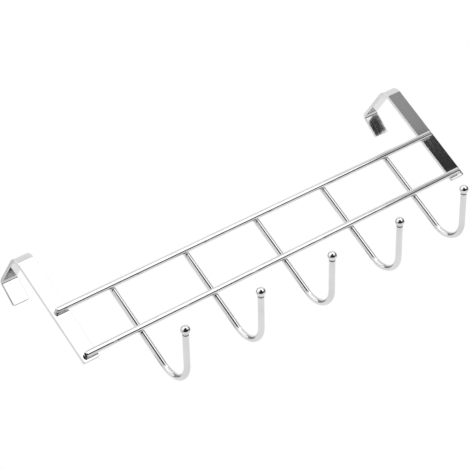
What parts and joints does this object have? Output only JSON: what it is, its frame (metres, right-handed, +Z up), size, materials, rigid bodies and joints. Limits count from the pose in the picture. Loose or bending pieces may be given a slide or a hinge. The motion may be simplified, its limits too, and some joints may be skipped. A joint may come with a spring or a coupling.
{
  "type": "over door hook",
  "caption": "Over-door hook rack: folded flat-bar straps for a door's top edge, joined by round rails that carry bent wire hooks with ball tips.",
  "frame": {"origin": "midway between the straps, on the line where the back of the front legs would meet the underside of the bridges, which is the top front edge of the door", "axes": "+X along the rails, +Y from the room towards the door, +Z up; the hooks open towards -Y"},
  "size_m": [0.375, 0.1026, 0.1457],
  "materials": {
    "strap": "bright chrome plate on flat steel bar with rolled edges",
    "rail": "bright chrome plate on drawn steel wire",
    "hook_wire": "bright chrome plate on drawn steel wire",
    "ball_tip": "bright chrome plate on a turned steel ball"
  },
  "bodies": {
    "root": {"left_strap": "strap", "right_strap": "strap", "upper_rail": "rail", "lower_rail": "rail", "hook_wire_1": "hook_wire", "hook_wire_2": "hook_wire", "hook_wire_3": "hook_wire", "hook_wire_4": "hook_wire", "hook_wire_5": "hook_wire", "ball_tip_1": "ball_tip", "ball_tip_2": "ball_tip", "ball_tip_3": "ball_tip", "ball_tip_4": "ball_tip", "ball_tip_5": "ball_tip"}
  },
  "joints": []
}
